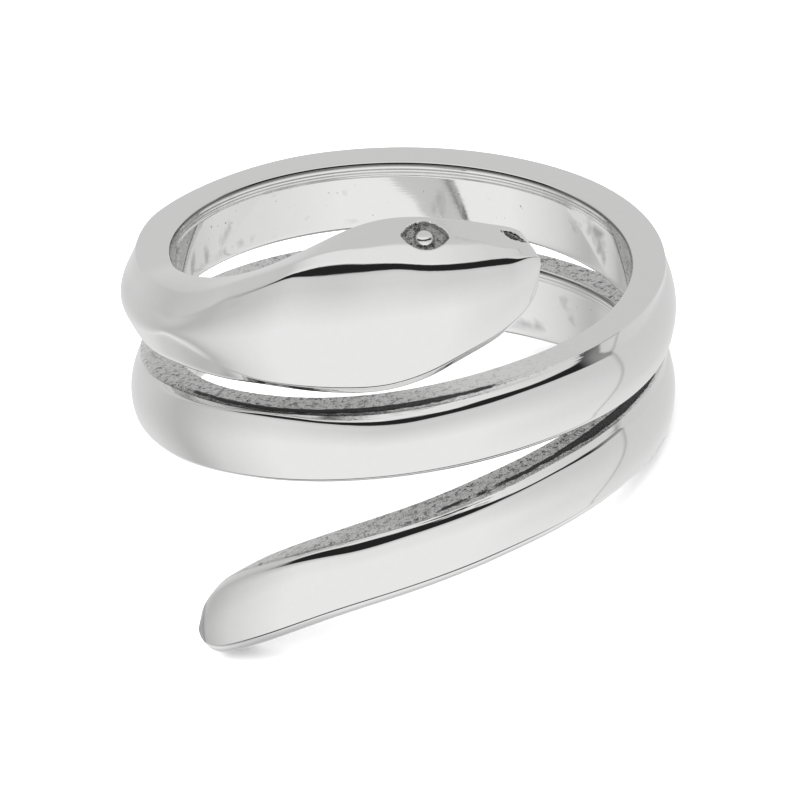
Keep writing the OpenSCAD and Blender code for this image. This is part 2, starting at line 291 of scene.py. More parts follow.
# Points in each rounded corner and on the side after it
ARC_COUNTS = (5, 7, 9, 17, 8, 7, 5, 9, 5, 3, 3)
SIDE_COUNTS = (6, 7, 6, 6, 5, 11, 3, 10, 3, 14, 9)
COLUMNS = sum(ARC_COUNTS) + sum(SIDE_COUNTS)
# The face is one wide parabola, which takes this share of the way to each of its corners
FACE_SHARE = 0.72
# Most of a side that the face and its neighbour take between them, and that any other corner takes
BOTH_ROUND, MOST_ROUND = 0.95, 0.47

# Sections along the coil: at these end angles in a rounded end, DENSE_GAP apart on the head as far as
# DENSE_LEN, and then COIL_GAP degrees apart
END_ANGLES = (3, *np.arange(8, 90, 4.5))
DENSE_LEN, DENSE_GAP, COIL_GAP = 8.2, 0.055, 1.85
# The curves along the coil have a value every FINE degrees and are softened over SOFT degrees
FINE, SOFT = 0.25, 2.5
# Passes that soften the surface round the sections, and along the coil for so many rows at each end
ROUND_PASSES, END_PASSES = 2, 40
SNOUT_ROWS_NEAR, TAIL_ROWS_NEAR = 9, 7
# Columns searched for a place on a flank, and rows and columns to those that give its axes
FLANK_COLUMNS = 40
ROWS_BESIDE, COLUMNS_BESIDE = 5, 4

# Silver, its worn parts, its cast skin, and the dark of the hollows in that, which also colours the painted
# shade
SILVER_COLOR = (0.85, 0.85, 0.845, 1)
WORN_COLOR = (0.7, 0.7, 0.7, 1)
CAST_COLOR = (0.36, 0.36, 0.36, 1)
HOLLOW_AND_PAINTED_SHADE_COLOR = (0.1, 0.1, 0.1, 1)
# Noises of the metal: spots to the millimetre, detail, roughness
RIPPLE_NOISE = (0.4, 1.0, 0.5)
POLISH_NOISE = (3.0, 4.0, 0.7)
COARSE_NOISE = (4.2, 5.0, 0.7)
FINE_NOISE = (12.0, 2.0, 0.5)
PIT_NOISE = (5.5, 1.0, 0.5)
PATCH_NOISE = (0.42, 3.0, 0.6)
# Noises drawn out along the band: how many spots along it, out of it and across it, then as above
MARKS_SCALE = (0.35, 13, 13)
MARKS_NOISE = (1.0, 2.0, 0.5)
PAINTED_STREAK_SCALE = (1.6, 7, 7)
PAINTED_STREAK_NOISE = (1.0, 4.0, 0.65)
# Cuts through the noises: (slope, start) of a line that is kept between 0 and 1
SHADE_CUT = (-8.0, 6.3)
HOLLOW_CUT = (-12.0, 8.2)
PAINTED_STREAK_CUT = (5.0, -5.0)
PIT_CUT = (16.0, -12.0)
PATCH_CUT = (11.0, -6.2)
# Shares of the fine grain added to the coarse one, and of the noise added to the amount of the painted
# reflection
FINE_SHARE, PAINTED_STREAK_SHARE = 0.5, 1.2
# Tool marks that all the metal has, and the share of pits on the bore's wall
LEAST_MARKS, WALL_PITS = 0.04, 0.5
# Shares of the marks in the colour: first towards WORN_COLOR, then CAST_COLOR, then
# HOLLOW_AND_PAINTED_SHADE_COLOR
POLISH_SHADE = 0.2
WORN_SHADE, GRAIN_SHADE, PATCH_SHADE = 0.5, 0.55, 0.5
PIT_DARK, PAINTED_LINE_DARK = 0.7, 0.85
# Roughness of the polished metal, and what each mark adds to it
LEAST_ROUGH, POLISH_ROUGH = 0.02, 0.06
CAST_ROUGH, PATCH_ROUGH, PAINTED_STREAK_ROUGH, WORN_ROUGH = 0.16, 0.3, 0.3, 0.15
# Heights of the surface marks
RIPPLE_HIGH, GRAIN_HIGH, MARKS_HIGH, PIT_DEEP = 0.012, 0.2, 0.012, 0.02

# Floor: half its width in metres, its looks, and light that leaves only the shadows near the ring
FLOOR_HALF = 1.5
FLOOR_GREY, FLOOR_ROUGH, FLOOR_SHINE = 0.93, 0.9, 0.1
FLOOR_LIGHT = 2.4
# Lamp overhead, in metres and watts
LAMP_AT = (-0.05, -0.05, 0.35)
LAMP_SIZE, LAMP_POWER = 0.35, 0.06

# Camera: its distance, elevation and roll, the width that the picture shows, and the place that it looks at
CAMERA_AWAY, CAMERA_HIGH, CAMERA_ROLL = 500.0, 25, 3
PICTURE_WIDE = 30.42
CAMERA_AIM = (-0.327, -2.640, -5.661)
SENSOR_WIDE = 36
# Nearest and furthest that it sees, in metres
CLIP = (0.05, 10)

# Studio light by elevation, for each side that the metal can mirror: (degrees, light), steady after the last
FRONT_LIGHT = (
    (-90, 0.96), (-8, 0.96), (0, 0.88), (6, 0.81), (13, 0.7), (20, 0.66), (37, 0.95), (45, 0.9),
    (52, 0.87), (68, 0.67), (90, 0.66),
)
LEFT_LIGHT = ((-90, 0.75), (-60, 0.6), (-40, 0.55), (10, 0.55), (35, 0.66))
BACK_LIGHT = ((-90, 0.95), (-50, 0.92), (-30, 0.8), (-12, 0.73), (0, 0.71), (15, 0.67), (90, 0.66))
RIGHT_LIGHT = ((-90, 0.95), (-50, 0.93), (-28, 0.76), (0, 0.71), (25, 0.68), (90, 0.66))
# How much of each side's light shows, by the azimuth from the front to the right: (degrees, share)
FRONT_SPAN = ((-180, 0), (-116, 0), (-112, 1), (100, 1), (102, 0))
LEFT_SPAN = (
    (-180, 0), (-155, 0), (-140, 0.2), (-130, 0.43), (-120, 0.7), (-112, 1), (-106, 0.95), (-100, 0.8),
    (-90, 0.5), (-80, 0.32), (-70, 0.17), (-58, 0),
)
RIGHT_SPAN = (
    (-180, 0), (28, 0), (40, 0.18), (50, 0.34), (60, 0.45), (72, 0.6), (99, 0.75), (102, 1), (130, 1),
    (160, 0),
)
# How far the front light lies lower, by the azimuth, in degrees
FRONT_DROP = (
    (-180, 13), (-86, 13), (-72, 9), (-46, 4), (-20, 1), (0, 0), (20, 1), (46, 4), (72, 9), (86, 13),
)
# The thin dark edge of the front card: its share by azimuth
EDGE_LIGHT = 0.2
EDGE_SPAN = ((-180, 0), (99.5, 0), (100.5, 0.4), (101.5, 0.4), (102.5, 0))
# The dark gap in the front light: its share by elevation and by azimuth
GAP_LIGHT = 0.02
GAP_HEIGHT = ((-90, 0), (18, 0), (21, 1), (35, 1), (38, 0))
GAP_SPAN = (
    (-180, 0), (-112, 0), (-95, 0.12), (-84, 0.45), (-76, 1), (80, 1), (90, 0.65), (101, 0.5), (102, 0),
)
# The dark gap between the front light and the floor, in the same way, and how far it lies higher by azimuth
LOW_GAP_LIGHT = 0.05
LOW_GAP_HEIGHT = ((-90, 0), (-79, 0), (-76, 1), (-65, 1), (-61, 0))
LOW_GAP_SPAN = ((-180, 0), (-112, 0), (-95, 0.6), (-80, 1), (80, 1), (95, 0.7), (108, 0.2), (125, 0))
LOW_GAP_LIFT = ((-180, 30), (-120, 20), (-72, 7), (0, 0), (72, 7), (120, 20), (180, 30))


def along(rows, column, at):
    """Smooth curve through one column of a table, by cubic pieces.

    With s the share of the way from row A to row B, it is A(1+2s)(1-s)^2 + B s^2(3-2s) plus the span times
    (slope A s(1-s)^2 - slope B s^2(1-s)). The slope at a row is that between its neighbours.
    """
    places, values = rows[:, 0], rows[:, column]
    slope = np.empty(len(places))
    slope[1:-1] = (values[2:] - values[:-2]) / (places[2:] - places[:-2])
    slope[0] = (values[1] - values[0]) / (places[1] - places[0])
    slope[-1] = (values[-1] - values[-2]) / (places[-1] - places[-2])
    row = np.clip(np.searchsorted(places, at, side="right") - 1, 0, len(places) - 2)
    span = places[row + 1] - places[row]
    share = np.clip((at - places[row]) / span, 0, 1)
    return (
        values[row] * (1 + 2 * share) * (1 - share) ** 2 + values[row + 1] * share * share * (3 - 2 * share)
        + slope[row] * span * share * (1 - share) ** 2 - slope[row + 1] * span * share * share * (1 - share)
    )


def blend(start, stop, share):
    """From start to stop by a share between 0 and 1."""
    return start + (stop - start) * share


def step(low, high, value):
    """Smooth step from 0 at low to 1 at high: s^2(3-2s), where s is the share of the way."""
    share = np.clip((value - low) / (high - low), 0, 1)
    return share * share * (3 - 2 * share)


def angle_of(way):
    """Degrees along the coil for a length round its outside."""
    return np.degrees(way / BODY_R)


def profile(values):
    """Softened curve of values along the coil, as a function of the angle.

    It is a weighted mean over the neighbours, and the weight is exp(-(distance / SOFT)^2 / 2).
    """
    reach = int(3 * SOFT / FINE)
    weights = np.exp(-0.5 * (np.arange(-reach, reach + 1) * FINE / SOFT) ** 2)
    padded = np.pad(values, reach, mode="reflect", reflect_type="odd")
    soft = np.convolve(padded, weights / weights.sum(), mode="valid")
    return lambda angle: np.interp(angle, FINE_ANGLES, soft)


TOTAL = 360 * TURNS
FINE_ANGLES = np.arange(0, TOTAL + FINE, FINE)
turn = FINE_ANGLES / 360
head_way = np.minimum(FINE_ANGLES / angle_of(HEAD_LEN), 1)
tail_way = np.clip((TOTAL - FINE_ANGLES) / angle_of(TAIL_LEN), 0, 1)
band_height = BAND_W * along(COIL_ROWS, TALL, turn)
band_thick = BAND_T * along(COIL_ROWS, THICK, turn)
head_height = blend(band_height, HEAD_W, along(HEAD_ROWS, TALL, head_way))
head_thick = blend(band_thick, HEAD_T, along(HEAD_ROWS, THICK, head_way))

# Middle of the body: it sinks by TURN_DROP a turn, and the head rises from there and the tail leans down
middle_z = profile(
    TURN_DROP * (along(COIL_ROWS, LIFT, turn) - turn)
    + HEAD_LIFT * along(HEAD_ROWS, LIFT, head_way)
    + TAIL_DROP * along(TAIL_ROWS, LIFT, tail_way)
)
# Height of the body from edge to edge: the band's goes over into the head's and the tail's
height = profile(blend(head_height, TAIL_W, along(TAIL_ROWS, TALL, tail_way)))
# Thickness of the body: the band's goes over into the head's, and that into the snout's
thickness = profile(blend(head_thick, SNOUT_T, along(HEAD_ROWS, TAPER, head_way)))


def stations():
    """Angle along the coil, end angle and end of every section, close together on the head.

    The end angle is 90 degrees on the body. In a rounded end it falls towards 0, and a section lies the
    end's length times 1 - cos(end angle) from the tip. The end is -1 at the tail's and 1 elsewhere.
    """
    ends = np.radians(END_ANGLES)
    snout = angle_of(SNOUT_LEN)
    tail = angle_of(TAIL_END_LEN)
    dense = np.arange(snout, angle_of(DENSE_LEN), angle_of(DENSE_GAP))
    count = int((TOTAL - tail - dense[-1]) / COIL_GAP)
    rest = np.linspace(dense[-1], TOTAL - tail, count)[1:]
    body = np.concatenate([dense, rest])
    angle = np.concatenate([snout * (1 - np.cos(ends)), body, TOTAL - tail * (1 - np.cos(ends[::-1]))])
    end_angle = np.concatenate([ends, np.full(len(body), np.pi / 2), ends[::-1]])
    end = np.concatenate([np.ones(len(ends) + len(body)), -np.ones(len(ends))])
    return angle[:, None], end_angle[:, None], end[:, None]


ANGLE, END_ANGLE, END = stations()
# 1 where the body has its whole height, and falling towards 0 at the tips
WHOLE = np.sin(END_ANGLE)
ON_HEAD = ANGLE < angle_of(HEAD_LEN / 2)


def moved_in(inset):
    """Angle of a point inset from the outline: at an end it moves in by the inset times cos(end angle)."""
    return ANGLE + END * angle_of(inset) * np.cos(END_ANGLE)


def spot(inset, deep, side):
    """Angle and height of a point that lies in from the upper (1) or lower (-1) edge.

    Along the coil it lies inset in from a rounded end, and across the coil it lies deep in. Its height is
    middle_z + (height / 2 - deep)(tip + (side - tip) WHOLE^fullness).
    """
    moved = moved_in(inset)
    half = height(moved) / 2 - deep
    tip = np.where(END < 0, -TAIL_TIP_LOW, SNOUT_TIP_HIGH)
    return moved, middle_z(moved) + half * (tip + (side - tip) * WHOLE ** END_FULLNESS[side])


def corner_points(side):
    """Corners of one side of every section, from the bore to the face.

    Below they are the bore's edge, the ridge and the face's corner. Above, the fine lines' end and start
    come first, and the step's foot and the bevel's top lie between the ridge and the face's corner.
    Each is a place (way along the coil, radius, height) and the length of its rounding.
    """
    ridge_out, ridge_in, face_in, face_back, ridge_round, face_round = (
        along(SHAPE_ROWS, column, ANGLE) for column in SIDE_COLUMNS[side]
    )
    least = np.where(END > 0, SNOUT_SHRINK[side], TAIL_SHRINK)
    shrink = blend(least, 1, WHOLE ** SHRINK_ALONG)
    shrink_across = blend(least, 1, WHOLE ** SHRINK_ACROSS)
    on_wall = blend(WALL_SHRINK, 1, WHOLE ** SHRINK_ON_WALL) / shrink
    face_in = np.minimum(face_in, ROOM[side] * height(ANGLE) / shrink)
    face_out = thickness(moved_in(face_in * shrink)) - face_back * shrink
    ridge_out = np.minimum(ridge_out, face_out - LEAST_RIDGE)
    ridge = (ridge_out, ridge_in, ridge_round)
    face = (face_out, face_in, face_round)
    if side < 0:
        places = [(0, 0, BORE_BEVEL), ridge, face]
    else:
        slope = math.radians(BEVEL_SLOPE)
        bevel = along(SHAPE_ROWS, BEVEL_COLUMN, ANGLE)
        bevel_out = face_out - bevel * shrink * math.sin(slope)
        bevel_in = face_in - bevel * math.cos(slope)
        steep = along(STEP_ROWS, 1, ANGLE) * WHOLE
        flat = 1 - np.minimum(steep, 1)
        step_out = STEP_OUT * steep + FLAT_SHARE * (bevel_out - ridge_out) * flat
        step_in = STEP_IN * steep + FLAT_SHARE * (bevel_in - ridge_in) * flat
        places = [
            (0, LINES_DEPTH * on_wall, LINES_END_ROUND),
            (0, EDGE_IN * on_wall, LINES_START_ROUND),
            (EDGE_OUT, 0, EDGE_ROUND),
            ridge,
            (ridge_out + step_out, ridge_in + step_in, STEP_ROUND),
            (bevel_out, bevel_in, face_round),
            face,
        ]
    corners = []
    for out, inset, rounding in places:
        moved, z = spot(inset * shrink, inset * shrink_across, side)
        radius = np.broadcast_to(BORE_R + out, ANGLE.shape)
        place = np.stack([BODY_R * np.radians(moved), radius, z], axis=-1)
        corners.append((place, np.broadcast_to(rounding, ANGLE.shape)[..., None]))
    return corners


def rounded_outline(corners):
    """Closed outline through the corners: each corner is a parabola between two points on its sides.

    The parabola's points are (1-s)^2 A + 2s(1-s) P + s^2 B, where P is the corner. A and B lie as far from P
    as its rounding is long, but no further than a share of the side.
    """
    count = len(corners)
    places = [place for place, rounding in corners]

    def towards(corner, other):
        """Where a corner's rounding starts, on the side that goes to another corner."""
        place, rounding = corners[corner]
        way = places[other] - place
        length = np.linalg.norm(way, axis=-1, keepdims=True)
        if corner == MID_FACE:
            share = FACE_SHARE
        elif other == MID_FACE:
            share = BOTH_ROUND - FACE_SHARE
        else:
            share = MOST_ROUND
        return place + way * np.minimum(rounding / np.maximum(length, 1e-6), share)

    pieces = []
    for corner in range(count):
        after = (corner + 1) % count
        start = towards(corner, (corner - 1) % count)
        stop = towards(corner, after)
        s = np.linspace(0, 1, ARC_COUNTS[corner])[None, :, None]
        pieces.append((1 - s) ** 2 * start + 2 * s * (1 - s) * places[corner] + s * s * stop)
        s = np.linspace(0, 1, SIDE_COUNTS[corner] + 2)[None, 1:-1, None]
        pieces.append(blend(stop, towards(after, corner), s))
    return np.concatenate(pieces, axis=1)


def first_column(corner):
    """Column where the rounding of a corner starts."""
    return sum(ARC_COUNTS[:corner]) + sum(SIDE_COUNTS[:corner])


def ring_sections():
    """Way along the coil, radius and height of all points: a row for each station, a column round it.

    The face's middle corner has no end to its rounding, so it takes its whole share of the sides. It lies so
    far out that its parabola tops the thickness by FACE_SWELL.
    """
    low, high = corner_points(-1), corner_points(1)
    middle = (low[-1][0] + high[-1][0]) / 2
    outermost = BORE_R + thickness(np.degrees(middle[..., 0] / BODY_R)) + FACE_SWELL * WHOLE
    middle[..., 1] = (outermost - FACE_SHARE / 2 * middle[..., 1]) / (1 - FACE_SHARE / 2)
    face = (middle, np.full(ANGLE.shape, np.inf)[..., None])
    return rounded_outline(low + [face] + high[::-1])


def smooth_round(values):
    """Weighted mean of each column with the columns on both sides of it, round the section."""
    return 0.25 * np.roll(values, 1, axis=1) + 0.5 * values + 0.25 * np.roll(values, -1, axis=1)


def smooth_ends(values):
    """Weighted mean of each section with its neighbours along the coil, near where the rounded ends start.

    The mean's share is exp(-(rows away / rows near)^2), summed over both ends, and at most 1.
    """
    body = np.flatnonzero(WHOLE[:, 0] >= 1)
    rows = np.arange(len(values))[:, None]
    near = np.exp(-((rows - body[0]) / SNOUT_ROWS_NEAR) ** 2)
    near = near + np.exp(-((rows - body[-1] - 1) / TAIL_ROWS_NEAR) ** 2)
    mean = values.copy()
    mean[1:-1] = 0.25 * values[:-2] + 0.5 * values[1:-1] + 0.25 * values[2:]
    return values + (mean - values) * np.minimum(near, 1)[..., None]


def to_xyz(sections):
    """Points of the coil: x = radius cos(direction), y = radius sin(direction)."""
    direction = np.radians(SNOUT_DIRECTION) - sections[..., 0] / BODY_R
    radius, z = sections[..., 1], sections[..., 2]
    return np.stack([radius * np.cos(direction), radius * np.sin(direction), z], axis=-1)


def column_share(start, stop):
    """0 before the start column, 1 after the stop column, and even in between."""
    return np.clip((np.arange(COLUMNS) - start) / (stop - start), 0, 1)[None, :]


def strip(start, rise, stop, fall):
    """1 on the columns between start and stop, with an even rise after start and an even fall after stop."""
    return column_share(start, start + rise) * (1 - column_share(stop, stop + fall))


def line_phase(share):
    """Place within its fine line, from 0 to 1, for a share of the depth that all the lines take."""
    return share * (LINES_DEPTH - EDGE_IN) / LINE_WIDTH % 1


def wall_lines(sections):
    """Cuts fine steps, which rise steeply and fall slowly, below the bore's upper edge.

    Their strength along the coil is 0.8 + 0.2 sin(angle / 17), after they have come in.
    """
    share = column_share(first_column(LINES_START) + ARC_COUNTS[LINES_START], first_column(LINES_END))
    phase = line_phase(share)
    rise = np.where(phase < LINE_RISE, phase / LINE_RISE, (1 - phase) / (1 - LINE_RISE))
    within = (share > 0) & (share < 1)
    strength = step(*LINES_FROM, ANGLE) * (0.8 + 0.2 * np.sin(ANGLE / 17))
    sections[..., 1] += LINE_HIGH * (1 - rise) * within * strength
    return sections


def zones():
    """Share of each look at each point: strips of columns, by the angle or by WHOLE.

    The painted shade across a fine line is exp(-((phase - 1/2) / 0.2)^2), and it fades with the depth. In
    the rim's painted shade line it is exp(-((WHOLE - RIM_LINE_AT) / RIM_LINE_WIDE)^2).
    """
    low_ridge, bevel, foot, ridge, edge, lines, wall = (
        first_column(corner)
        for corner in (LOW_RIDGE, BEVEL_TOP, STEP_FOOT, HIGH_RIDGE, HIGH_EDGE, LINES_START, LINES_END)
    )
    depth = column_share(lines, wall)
    within = (depth > 0) & (depth < 1)
    painted_shade_in_lines = np.exp(-((line_phase(depth) - 0.5) / 0.2) ** 2) * (0.8 - 0.6 * depth) * within
    painted_wall_shade = np.maximum(painted_shade_in_lines, strip(lines - 4, 3, lines + 1, 2)) * step(*PAINTED_SHADE_FROM, ANGLE)
    tail_end = END < 0
    painted_rim_shade = PAINTED_RIM_SHADE * np.exp(-((WHOLE - RIM_LINE_AT) / RIM_LINE_WIDE) ** 2) * tail_end
    lower_rim = strip(low_ridge - 6, 6, low_ridge + 8, 5) * step(*WORN_FROM, ANGLE)
    top_side = strip(foot + 2, 6, edge, 3)
    return {
        # Cast skin between the ridge and the bore's edge
        "cast": along(CAST_ROWS, 1, ANGLE) * strip(foot - 4, 8, edge, 3),
        # Tool marks between the step and the bevel, and fewer on the top side
        "drawn": along(DRAWN_ROWS, 1, ANGLE) * strip(bevel, 6, foot + 2, 6) + TOP_DRAWN * top_side,
        # The bore's wall below its fine lines
        "wall": strip(wall + 1, 2, COLUMNS - 2, 2),
        # Painted dark reflection: a jagged dark streak along the step
        "painted_reflection_streak": along(PAINTED_STREAK_ROWS, 1, ANGLE) * strip(foot - 1, 5, ridge + 2, 6),
        # Painted shade in the fine lines, on the edge above them and in a line inside the tail's rim
        "painted_line_shade": np.maximum(painted_wall_shade, painted_rim_shade * strip(low_ridge + 10, 4, bevel, 6)),
        # Wear of the tail's rim
        "worn": np.maximum(lower_rim, (1 - step(*WORN_END, WHOLE)) * tail_end),
    }


def flank_frame(points, way, arc, side):
    """Place on a flank, arc away from the bore's edge, and its axes: out of it, along the coil, across."""
    row = int(np.argmin(np.abs(ANGLE[:, 0] - angle_of(way))))
    edge = first_column(HIGH_EDGE) if side > 0 else ARC_COUNTS[LOW_EDGE] - 1
    columns = edge - side * np.arange(FLANK_COLUMNS)
    line = points[row, columns]
    length = np.concatenate([[0], np.cumsum(np.linalg.norm(np.diff(line, axis=0), axis=1))])
    column = columns[int(np.argmin(np.abs(length - arc)))]
    place = points[row, column]
    tangent = points[row + ROWS_BESIDE, column] - points[max(row - ROWS_BESIDE, 0), column]
    tangent /= np.linalg.norm(tangent)
    after, before = (column + COLUMNS_BESIDE) % COLUMNS, (column - COLUMNS_BESIDE) % COLUMNS
    out = np.cross(points[row, after] - points[row, before], tangent)
    out /= np.linalg.norm(out)
    if out @ np.array([place[0], place[1], 0]) < 0:
        out = -out
    return place, out, tangent, np.cross(out, tangent)


def cut_eye(points, side):
    """Sinks the almond of an eye into the surface and raises the ball in it. Gives the rough part too.

    The almond is where two circles overlap: a point is inside it by their radius less its distance from the
    further centre. The ball is a sphere that stands out by BALL_RISE.
    """
    place, out, tangent, sideways = flank_frame(points, EYE_WAY, EYE_ARC, side)
    local = points - place
    along_eye, across_eye, above = local @ tangent, local @ sideways, local @ out
    arc_r = (EYE_LEN ** 2 + EYE_W ** 2) / (4 * EYE_W)
    inside = arc_r - np.hypot(along_eye, np.abs(across_eye) + arc_r - EYE_W / 2)
    near = (above > EYE_BELOW) & (above < EYE_ABOVE) & (inside > -0.1) & ON_HEAD
    depth = EYE_DEPTH * step(*EYE_WALL, inside)
    ball_r = BALL_D / 2
    from_ball = np.hypot(along_eye, across_eye)
    ball = BALL_RISE - ball_r + np.sqrt(np.maximum(ball_r ** 2 - from_ball ** 2, 0))
    ball = np.where(from_ball < ball_r, ball, -np.inf)
    sunk = np.where(near & (depth > 0), np.maximum(np.minimum(above, EYE_FLOOR) - depth, ball), above)
    skin = np.where(near, step(*EYE_SKIN, inside) * (1 - step(*BALL_SKIN, ball)), 0)
    return points + (sunk - above)[..., None] * out, skin


def cut_nostril(points, side):
    """Sinks a slit, widest in its middle, into the surface. Gives its dark part too.

    Its half width is half of NOSTRIL_W times sin(pi (0.04 + 0.92 s))^0.7, where s is the share of the way.
    """
    rear, front = np.array(NOSTRIL_ENDS[side])
    share = np.linspace(0, 1, NOSTRIL_POINTS)
    frames = [flank_frame(points, *blend(rear, front, s), side) for s in share]
    path = np.array([place for place, *axes in frames])
    out = np.mean([axes[0] for place, *axes in frames], axis=0)
    out /= np.linalg.norm(out)
    gap = np.linalg.norm(points[..., None, :] - path, axis=-1)
    half = 0.5 * NOSTRIL_W * np.sin(math.pi * (0.04 + 0.92 * share)) ** 0.7
    inside = np.where(ON_HEAD, half[gap.argmin(axis=-1)] - gap.min(axis=-1), -1)
    depth = NOSTRIL_DEPTH * step(*NOSTRIL_WALL, inside)
    return points - depth[..., None] * out, NOSTRIL_DARK * step(*NOSTRIL_SKIN, inside)


def grid_faces(rows):
    """Quads between neighbouring rows, closed round the columns."""
    corner = np.arange((rows - 1) * COLUMNS).reshape(rows - 1, COLUMNS)
    beside = np.roll(corner, -1, axis=1)
    return np.stack([corner, corner + COLUMNS, beside + COLUMNS, beside], axis=-1).reshape(-1, 4)


def cap_faces(start, flip):
    """A strip across one end's narrow section, from the middle of the bore's wall to the face."""
    wall_middle = COLUMNS - SIDE_COUNTS[LINES_END] // 2
    face_middle = first_column(MID_FACE) + ARC_COUNTS[MID_FACE] // 2
    lower = (wall_middle + np.arange(COLUMNS - wall_middle + face_middle + 1)) % COLUMNS
    upper = wall_middle - np.arange(wall_middle - face_middle + 1)
    longest = max(len(lower), len(upper))
    lower = lower[np.round(np.linspace(0, len(lower) - 1, longest)).astype(int)]
    upper = upper[np.round(np.linspace(0, len(upper) - 1, longest)).astype(int)]
    quads = np.stack([lower[:-1], upper[:-1], upper[1:], lower[1:]], axis=-1) + start
    if flip:
        quads = quads[:, ::-1]
    return [tuple(dict.fromkeys(quad)) for quad in quads.tolist() if len(set(quad)) > 2]


def build_ring():
    """The whole ring as one closed surface, with its values at each point for the material."""
    sections = ring_sections()
    for _ in range(ROUND_PASSES):
        sections = smooth_round(sections)
    for _ in range(END_PASSES):
        sections = smooth_ends(sections)
    sections = wall_lines(sections)
    points = to_xyz(sections)
    rows = len(points)
    skin = np.zeros((rows, COLUMNS))
    for side in (1, -1):
        points, eye_skin = cut_eye(points, side)
        points, slit_skin = cut_nostril(points, side)
        skin = np.maximum(skin, np.maximum(eye_skin, slit_skin))
    band_middle = np.stack([0 * ANGLE, BORE_R + 0 * ANGLE, middle_z(ANGLE)], axis=-1)

    mesh = bpy.data.meshes.new("snake_ring_metal")
    faces = grid_faces(rows).tolist() + cap_faces(0, False) + cap_faces((rows - 1) * COLUMNS, True)
    mesh.from_pydata((points.reshape(-1, 3) * MM).tolist(), [], faces)
    mesh.validate()
    for name, values in {"skin": skin, **zones()}.items():
        layer = mesh.attributes.new(name, "FLOAT", "POINT")
        layer.data.foreach_set("value", np.broadcast_to(values, (rows, COLUMNS)).astype(np.float32).ravel())
    layer = mesh.attributes.new("on_band", "FLOAT_VECTOR", "POINT")
    layer.data.foreach_set("vector", (sections - band_middle).astype(np.float32).ravel())
    mesh.polygons.foreach_set("use_smooth", np.ones(len(mesh.polygons), bool))
    mesh.update()
    ring = bpy.data.objects.new("snake_ring_metal", mesh)
    bpy.context.scene.collection.objects.link(ring)
    return ring


def put_at_rest(ring):
    """Turns the ring to its rest and puts the middle of its box over the origin. Returns the whole move."""
    towards = math.radians(LEAN_TOWARDS)
    axis = Vector((-math.sin(towards), math.cos(towards), 0))
    turned = Matrix.Rotation(math.radians(LEAN), 4, axis)
    ring.data.transform(turned)
    flat = np.empty(len(ring.data.vertices) * 3, np.float32)
    ring.data.vertices.foreach_get("co", flat)
    points = flat.reshape(-1, 3)
    low, high = points.min(axis=0), points.max(axis=0)
    shift = Matrix.Translation(Vector((-(low[0] + high[0]) / 2, -(low[1] + high[1]) / 2, -low[2])))
    ring.data.transform(shift)
    ring.data.update()
    return shift @ turned


def grey(value):
    """A grey colour."""
    return (value, value, value, 1)


def feed(tree, socket, value):
    """Sets an input to a value, or links it to the output that the value comes from."""
    if isinstance(value, bpy.types.NodeSocket):
        tree.links.new(value, socket)
    else:
        socket.default_value = value


def math_node(tree, operation, *values):
    """A Math node whose inputs are numbers or sockets."""
    node = tree.nodes.new("ShaderNodeMath")
    node.operation = operation
    for socket, value in zip(node.inputs, values):
        feed(tree, socket, value)
    return node.outputs[0]


def clamped(tree, value):
    """A value kept between 0 and 1."""
    return math_node(tree, "MINIMUM", math_node(tree, "MAXIMUM", value, 0.0), 1.0)


def cut_off(tree, value, cut):
    """A value times the slope of a cut plus its start, kept between 0 and 1."""
    return clamped(tree, math_node(tree, "MULTIPLY_ADD", value, *cut))


def mixed(tree, share, first, second):
    """A Mix node from the first colour to the second; each is a value or a socket."""
    node = tree.nodes.new("ShaderNodeMix")
    node.data_type = "RGBA"
    color_inputs = [socket for socket in node.inputs if socket.type == "RGBA"]
    for socket, value in zip([node.inputs["Factor"], *color_inputs], (share, first, second)):
        feed(tree, socket, value)
    return next(socket for socket in node.outputs if socket.type == "RGBA")


def ramp(tree, source, stops, most):
    """A colour ramp through grey stops (place, value) from -most to most, by a source in that range."""
    scaled = math_node(tree, "MULTIPLY_ADD", source, 1 / (2 * most), 0.5)
    node = tree.nodes.new("ShaderNodeValToRGB")
    elements = node.color_ramp.elements
    elements.remove(elements[1])
    for i, (place, value) in enumerate(stops):
        stop = elements[0] if i == 0 else elements.new((place + most) / (2 * most))
        stop.color = grey(value)
    tree.links.new(scaled, node.inputs["Fac"])
    return node.outputs["Color"]


def attribute(tree, name):
    """A value stored at the mesh's points."""
    node = tree.nodes.new("ShaderNodeAttribute")
    node.attribute_name = name
    return node.outputs["Fac"]


def add_group(name, inputs, outputs):
    """An empty shader node group with float inputs and outputs, and its two end nodes."""
    tree = bpy.data.node_groups.new(name, "ShaderNodeTree")
    for socket in inputs:
        tree.interface.new_socket(name=socket, in_out="INPUT", socket_type="NodeSocketFloat")
    for socket in outputs:
        tree.interface.new_socket(name=socket, in_out="OUTPUT", socket_type="NodeSocketFloat")
    return tree, tree.nodes.new("NodeGroupInput"), tree.nodes.new("NodeGroupOutput")


def placed(tree, group, **amounts):
    """Outputs of a shader node group in a material, with its inputs set to numbers or sockets."""
    node = tree.nodes.new("ShaderNodeGroup")
    node.node_tree = group
    for name, value in amounts.items():
        feed(tree, node.inputs[name], value)
    return node.outputs


def in_millimetres(tree):
    """Object coordinates, in millimetres."""
    coords = tree.nodes.new("ShaderNodeTexCoord")
    scale = tree.nodes.new("ShaderNodeVectorMath")
    scale.operation = "SCALE"
    scale.inputs["Scale"].default_value = 1 / MM
    tree.links.new(coords.outputs["Object"], scale.inputs[0])
    return scale.outputs["Vector"]


def band_coords(tree, scale):
    """Place on the band (along it, out of it and across it), each in so many spots to the millimetre."""
    place = tree.nodes.new("ShaderNodeAttribute")
    place.attribute_name = "on_band"
    stretch = tree.nodes.new("ShaderNodeVectorMath")
    stretch.operation = "MULTIPLY"
    stretch.inputs[1].default_value = scale
    tree.links.new(place.outputs["Vector"], stretch.inputs[0])
    return stretch.outputs["Vector"]


